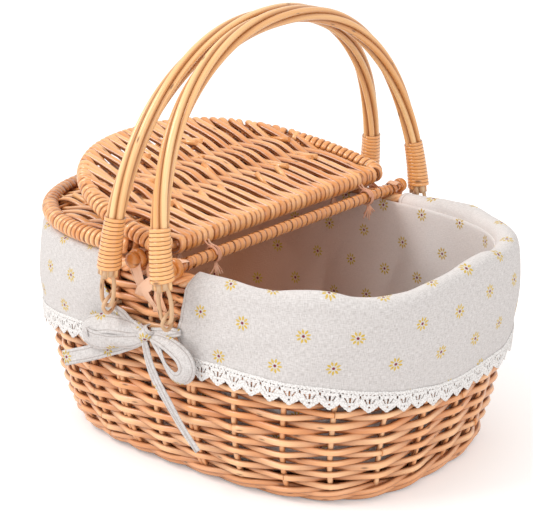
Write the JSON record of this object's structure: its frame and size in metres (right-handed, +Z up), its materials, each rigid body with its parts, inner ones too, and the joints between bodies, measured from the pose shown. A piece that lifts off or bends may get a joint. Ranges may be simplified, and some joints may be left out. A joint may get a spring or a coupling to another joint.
{
  "type": "picnic basket",
  "caption": "Oval willow picnic basket with a fold-over linen liner edged in lace, half lids hinged on cross bars and swing handles of twisted rods.",
  "frame": {"origin": "centre of the base's flat underside, on the surface that the basket stands on", "axes": "+X along the basket towards its open half, +Y across it towards the far side, +Z up"},
  "size_m": [0.4133, 0.3736, 0.3735],
  "materials": {
    "willow": "satin",
    "willow_dark": "satin",
    "willow_light": "satin",
    "cane": "glossy",
    "twine": "matte",
    "linen": "matte",
    "lace": "matte"
  },
  "bodies": {
    "basket": {"base_weave": "willow", "wall_weave_lower": "willow", "wall_weave_upper": "willow", "upsett_wale": "willow_dark", "rim_border": "willow_dark", "hinge_bar_left": "willow_dark", "hinge_bar_right": "willow_dark", "wall_loop_front_near": "willow_dark", "wall_loop_front_far": "willow_dark", "wall_loop_back_near": "willow_dark", "wall_loop_back_far": "willow_dark", "bar_wrap_left": "cane", "bar_wrap_right": "cane", "rim_lashing_near": "cane", "rim_lashing_far": "cane", "hinge_tie_left_near": "twine", "hinge_tie_left_far": "twine", "hinge_tie_right_near": "twine", "hinge_tie_right_far": "twine", "liner_bag": "linen", "liner_skirt_left": "linen", "liner_skirt_right": "linen", "bow_near_knot": "linen", "bow_near_ribbon_left": "linen", "bow_near_ribbon_right": "linen", "bow_far_knot": "linen", "bow_far_ribbon_left": "linen", "bow_far_ribbon_right": "linen", "lace_left": "lace", "lace_right": "lace"},
    "lid_left": {"lid_left_weave": "willow", "lid_left_hoop": "willow_dark", "lid_left_hinge_stick": "willow_dark", "lid_left_rib_1": "willow_light", "lid_left_rib_2": "willow_light", "lid_left_rib_3": "willow_light"},
    "lid_right": {"lid_right_weave": "willow", "lid_right_hoop": "willow_dark", "lid_right_hinge_stick": "willow_dark", "lid_right_rib_1": "willow_light", "lid_right_rib_2": "willow_light", "lid_right_rib_3": "willow_light"},
    "handle_front": {"handle_front_rod_1": "willow_light", "handle_front_rod_2": "willow_light", "handle_front_rod_3": "willow_light", "handle_front_rod_4": "willow_light", "handle_front_rod_5": "willow_light", "handle_front_eye_near": "willow_light", "handle_front_eye_far": "willow_light", "handle_front_whipping_near": "cane", "handle_front_whipping_far": "cane"},
    "handle_back": {"handle_back_rod_1": "willow_light", "handle_back_rod_2": "willow_light", "handle_back_rod_3": "willow_light", "handle_back_rod_4": "willow_light", "handle_back_rod_5": "willow_light", "handle_back_eye_near": "willow_light", "handle_back_eye_far": "willow_light", "handle_back_whipping_near": "cane", "handle_back_whipping_far": "cane"}
  },
  "joints": [
    {"name": "lid_right_hinge", "type": "hinge", "parent": "basket", "child": "lid_right", "pos_m": [0.02, 0, 0.1957], "axis": [0, 1, 0], "range_deg": [0, 166.7]},
    {"name": "lid_left_hinge", "type": "hinge", "parent": "basket", "child": "lid_left", "pos_m": [-0.02, 0, 0.1957], "axis": [0, 1, 0], "range_deg": [0, 58.4]},
    {"name": "handle_front_swing", "type": "hinge", "parent": "basket", "child": "handle_front", "pos_m": [0.032, 0, 0.158], "axis": [0, 1, 0], "range_deg": [0, 115.1]},
    {"name": "handle_back_swing", "type": "hinge", "parent": "basket", "child": "handle_back", "pos_m": [-0.032, 0, 0.158], "axis": [0, 1, 0], "range_deg": [-115.1, 0]}
  ],
  "couplings": [
    {"joint": "lid_left_hinge", "follows": "lid_right_hinge", "ratio": 0.35},
    {"joint": "handle_front_swing", "follows": "lid_right_hinge", "ratio": 0.69},
    {"joint": "handle_back_swing", "follows": "lid_right_hinge", "ratio": -0.69}
  ]
}
